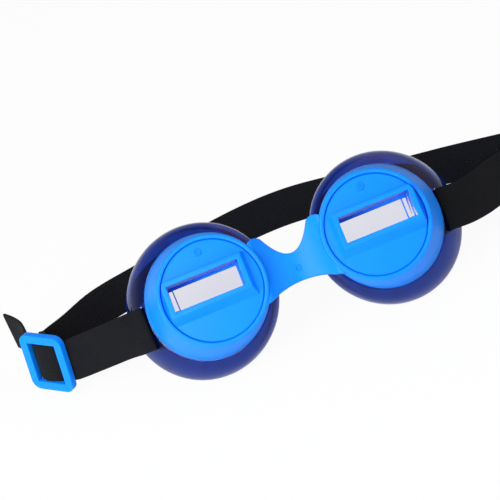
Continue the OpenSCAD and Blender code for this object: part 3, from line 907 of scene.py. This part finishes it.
def white_paper():
    """Matt white paper: nearly white to the camera, and it keeps the object's shadow."""
    material, tree, out = new_material("white_paper")
    rays = add_node(tree, "ShaderNodeLightPath")
    coords = add_node(tree, "ShaderNodeTexCoord")
    # Clumps of fibre, about 3.3 mm across
    fibre = add_node(tree, "ShaderNodeTexNoise", {"Scale": 1 / (10 / 3 * MM), "Detail": 2.0},
                     {"Vector": coords.outputs["Object"]})
    tone = add_node(tree, "ShaderNodeMix", {"data_type": "RGBA", COLOUR_A: (0.88, 0.88, 0.88, 1),
                                            COLOUR_B: (0.9, 0.9, 0.9, 1)},
                    {0: fibre.outputs["Fac"]})
    paper = add_node(tree, "ShaderNodeBsdfDiffuse", None, {"Color": tone.outputs[MIXED]})
    glow = add_node(tree, "ShaderNodeEmission", {"Color": (1, 1, 1, 1), "Strength": 1.0})
    plain = add_node(tree, "ShaderNodeMath", {"operation": "MULTIPLY", 1: 0.94},
                     {0: rays.outputs["Is Camera Ray"]})
    # Seen through the shields it keeps more of its shadow, and mirrored in them it is dimmer still
    through = add_node(tree, "ShaderNodeMath", {"operation": "MULTIPLY", 1: 0.66},
                       {0: rays.outputs["Is Transmission Ray"]})
    reflected = add_node(tree, "ShaderNodeMath", {"operation": "MULTIPLY", 1: 0.2},
                         {0: rays.outputs["Is Glossy Ray"]})
    other = add_node(tree, "ShaderNodeMath", {"operation": "MAXIMUM"},
                     {0: through.outputs[0], 1: reflected.outputs[0]})
    share = add_node(tree, "ShaderNodeMath", {"operation": "ADD"},
                     {0: plain.outputs[0], 1: other.outputs[0]})
    both = add_node(tree, "ShaderNodeMixShader", None,
                    {0: share.outputs[0], 1: paper.outputs[0], 2: glow.outputs[0]})
    tree.links.new(both.outputs[0], out.inputs["Surface"])
    return material


def lay_floor(scene):
    """Lays the pale floor just under the rims and the strap."""
    bm = bmesh.new()
    bmesh.ops.create_grid(bm, x_segments=1, y_segments=1, size=3.0)
    mesh = bpy.data.meshes.new("floor")
    bm.to_mesh(mesh)
    bm.free()
    floor = bpy.data.objects.new("floor", mesh)
    floor.location.z = -0.2 * MM
    scene.collection.objects.link(floor)
    mesh.materials.append(white_paper())


def set_world(scene):
    """Gives the surfaces an even cool light, and shows the camera and the reflections a white room."""
    world = bpy.data.worlds.new("studio")
    scene.world = world
    world.use_nodes = True
    tree = world.node_tree
    tree.nodes.clear()
    rays = add_node(tree, "ShaderNodeLightPath")
    direct = add_node(tree, "ShaderNodeMath", {"operation": "MAXIMUM"},
                      {0: rays.outputs["Is Camera Ray"], 1: rays.outputs["Is Transmission Ray"]})
    seen = add_node(tree, "ShaderNodeMath", {"operation": "MAXIMUM"},
                    {0: direct.outputs[0], 1: rays.outputs["Is Glossy Ray"]})
    lit = add_node(tree, "ShaderNodeBackground", {"Color": (0.96, 0.98, 1.0, 1), "Strength": 0.34})
    # Reflections see a room whose ceiling is dimmer than its walls
    way = add_node(tree, "ShaderNodeTexCoord")
    height = add_node(tree, "ShaderNodeSeparateXYZ", None, {"Vector": way.outputs["Generated"]})
    dim = add_node(tree, "ShaderNodeMapRange",
                   {"From Min": -0.1, "From Max": 0.5, "To Min": 0.6, "To Max": 0.25},
                   {"Value": height.outputs["Z"]})
    level = add_node(tree, "ShaderNodeMath", {"operation": "MAXIMUM"},
                     {0: dim.outputs["Result"], 1: direct.outputs[0]})
    # Its right side is warmer and brighter above, as beside a sunlit wall
    side = add_node(tree, "ShaderNodeMapRange", {"From Min": 0.1, "From Max": 0.4},
                    {"Value": height.outputs["X"]})
    aloft = add_node(tree, "ShaderNodeMapRange", {"From Min": 0.2, "From Max": 0.5},
                     {"Value": height.outputs["Z"]})
    warmth = add_node(tree, "ShaderNodeMath", {"operation": "MULTIPLY"},
                      {0: side.outputs["Result"], 1: aloft.outputs["Result"]})
    glossy_only = add_node(tree, "ShaderNodeMath", {"operation": "MULTIPLY"},
                           {0: warmth.outputs[0], 1: rays.outputs["Is Glossy Ray"]})
    hue = add_node(tree, "ShaderNodeMix", {"data_type": "RGBA", COLOUR_A: (1, 1, 1, 1),
                                           COLOUR_B: (1.0, 0.66, 0.52, 1)},
                   {0: glossy_only.outputs[0]})
    glow = add_node(tree, "ShaderNodeMath", {"operation": "MULTIPLY_ADD", 1: 0.6},
                    {0: glossy_only.outputs[0], 2: level.outputs[0]})
    plain = add_node(tree, "ShaderNodeBackground", None,
                     {"Color": hue.outputs[MIXED], "Strength": glow.outputs[0]})
    both = add_node(tree, "ShaderNodeMixShader", None,
                    {0: seen.outputs[0], 1: lit.outputs[0], 2: plain.outputs[0]})
    out = tree.nodes.new("ShaderNodeOutputWorld")
    tree.links.new(both.outputs[0], out.inputs["Surface"])


def add_lamp(name, power, size, place):
    """A square area lamp aimed at the goggles."""
    light = bpy.data.lights.new(name, "AREA")
    light.energy = power
    light.size = size
    lamp = bpy.data.objects.new(name, light)
    bpy.context.scene.collection.objects.link(lamp)
    lamp.location = place
    aim = Vector((0, -0.01, 0.02)) - Vector(place)
    lamp.rotation_euler = aim.to_track_quat("-Z", "Y").to_euler()


def set_camera(scene, focal_length):
    """Places the camera where it fits the photograph."""
    camera = bpy.data.cameras.new("camera")
    camera.lens = focal_length
    camera.sensor_width = 36
    camera.clip_end = 20
    eye = bpy.data.objects.new("camera", camera)
    scene.collection.objects.link(eye)
    # Its place in metres, and its right and up directions
    place = Matrix.Translation((-0.02648, -0.59012, 0.34834))
    right = Vector((0.92693845, -0.19739477, -0.31909312))
    upward = Vector((0.37462764, 0.43938628, 0.81645197))
    eye.matrix_world = place @ Matrix((right, upward, right.cross(upward))).transposed().to_4x4()
    scene.camera = eye


class GOGGLES_OT_stage(bpy.types.Operator):
    """Sets the pale floor, the world, the lamps and the camera"""

    bl_idname = "goggles.stage"
    bl_label = "Studio stage"

    def execute(self, context):
        scene = context.scene
        stage = scene.goggle_stage
        lay_floor(scene)
        set_world(scene)
        add_lamp("key", stage.key_power, 0.7, (-0.5, -0.62, 0.48))
        add_lamp("fill", stage.fill_power, 0.6, (0.6, -0.45, 0.5))
        set_camera(scene, stage.focal_length)
        scene.view_settings.view_transform = "Standard"
        return {"FINISHED"}


class GOGGLES_PT_panel(bpy.types.Panel):
    """Lists the goggles' sizes and the steps that build them"""

    bl_idname = "GOGGLES_PT_panel"
    bl_label = "Prism Goggles"
    bl_space_type = "VIEW_3D"
    bl_region_type = "UI"
    bl_category = "Goggles"

    def draw(self, context):
        for settings in (context.scene.goggle_cups, context.scene.goggle_strap, context.scene.goggle_stage):
            box = self.layout.box()
            for key in settings.__annotations__:
                box.prop(settings, key)
        for step in STEPS:
            self.layout.operator(step)


STEPS = ("goggles.housings", "goggles.bridge", "goggles.lens_caps", "goggles.eye_shields", "goggles.strap",
         "goggles.stitching", "goggles.buckle", "goggles.stage")

CLASSES = (CupSettings, StrapSettings, StageSettings, GOGGLES_OT_housings, GOGGLES_OT_bridge,
           GOGGLES_OT_lens_caps, GOGGLES_OT_eye_shields, GOGGLES_OT_strap, GOGGLES_OT_stitching,
           GOGGLES_OT_buckle, GOGGLES_OT_stage, GOGGLES_PT_panel)


def register():
    for cls in CLASSES:
        bpy.utils.register_class(cls)
    bpy.types.Scene.goggle_cups = PointerProperty(type=CupSettings)
    bpy.types.Scene.goggle_strap = PointerProperty(type=StrapSettings)
    bpy.types.Scene.goggle_stage = PointerProperty(type=StageSettings)


def unregister():
    del bpy.types.Scene.goggle_stage
    del bpy.types.Scene.goggle_strap
    del bpy.types.Scene.goggle_cups
    for cls in reversed(CLASSES):
        bpy.utils.unregister_class(cls)


def main():
    """Registers the add-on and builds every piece."""
    register()
    for step in STEPS:
        group, name = step.split(".")
        getattr(getattr(bpy.ops, group), name)()


if __name__ == "__main__":
    main()
